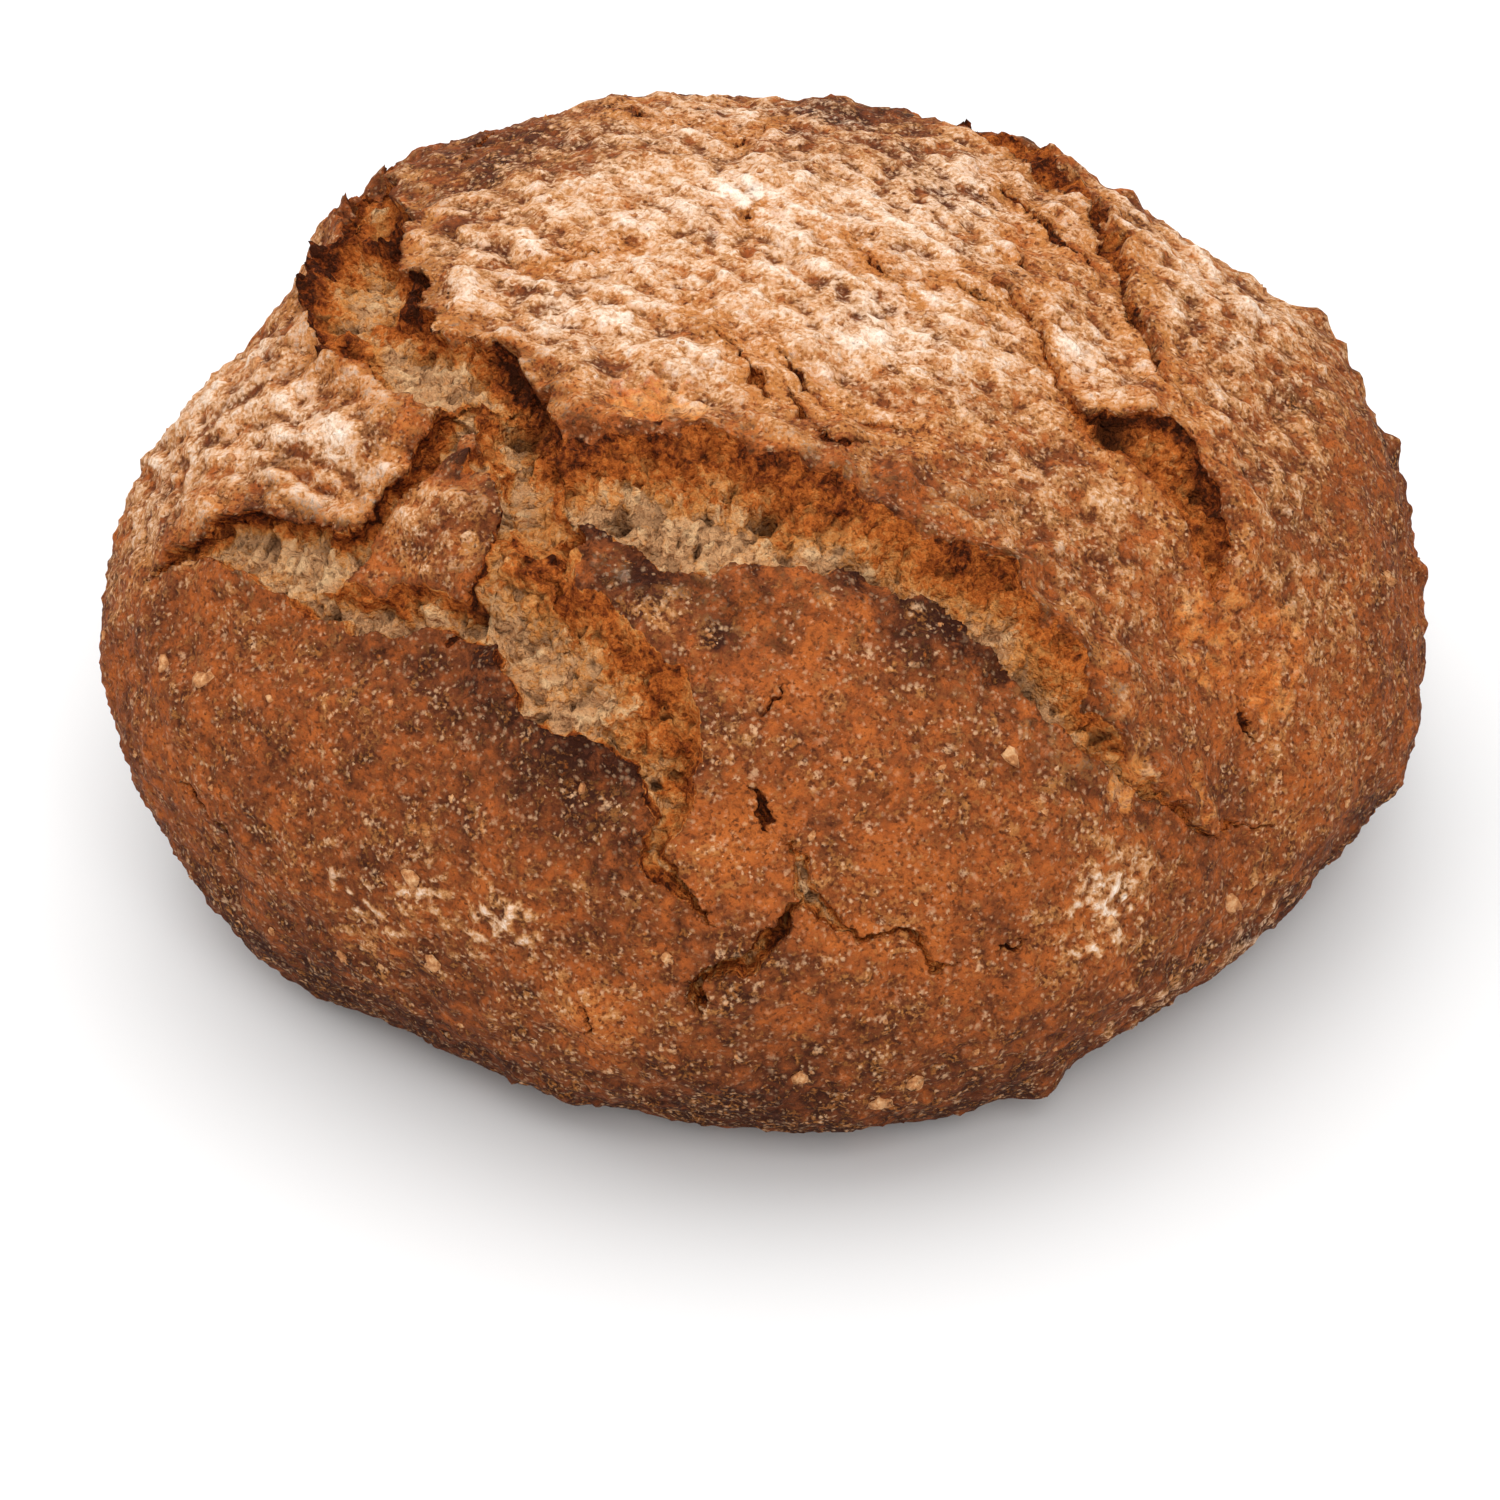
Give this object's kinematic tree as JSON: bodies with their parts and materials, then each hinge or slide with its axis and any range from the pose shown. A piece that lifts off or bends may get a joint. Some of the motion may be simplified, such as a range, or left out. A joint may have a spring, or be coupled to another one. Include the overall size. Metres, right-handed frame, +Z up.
{
  "type": "bread loaf",
  "caption": "Round rustic wheat and spelt loaf with a floured, deeply torn crown, open crumb in the tears and bran flakes on a browned crust.",
  "frame": {"origin": "on the table, under the middle of the loaf's outline", "axes": "+Z up through the crown, +X to the right and -Y towards the viewer when the long front tear faces the viewer"},
  "size_m": [0.2364, 0.231, 0.1129],
  "materials": {
    "crust": "matte browned crust, dusted with flour"
  },
  "bodies": {
    "root": {"loaf": "crust"}
  },
  "joints": []
}
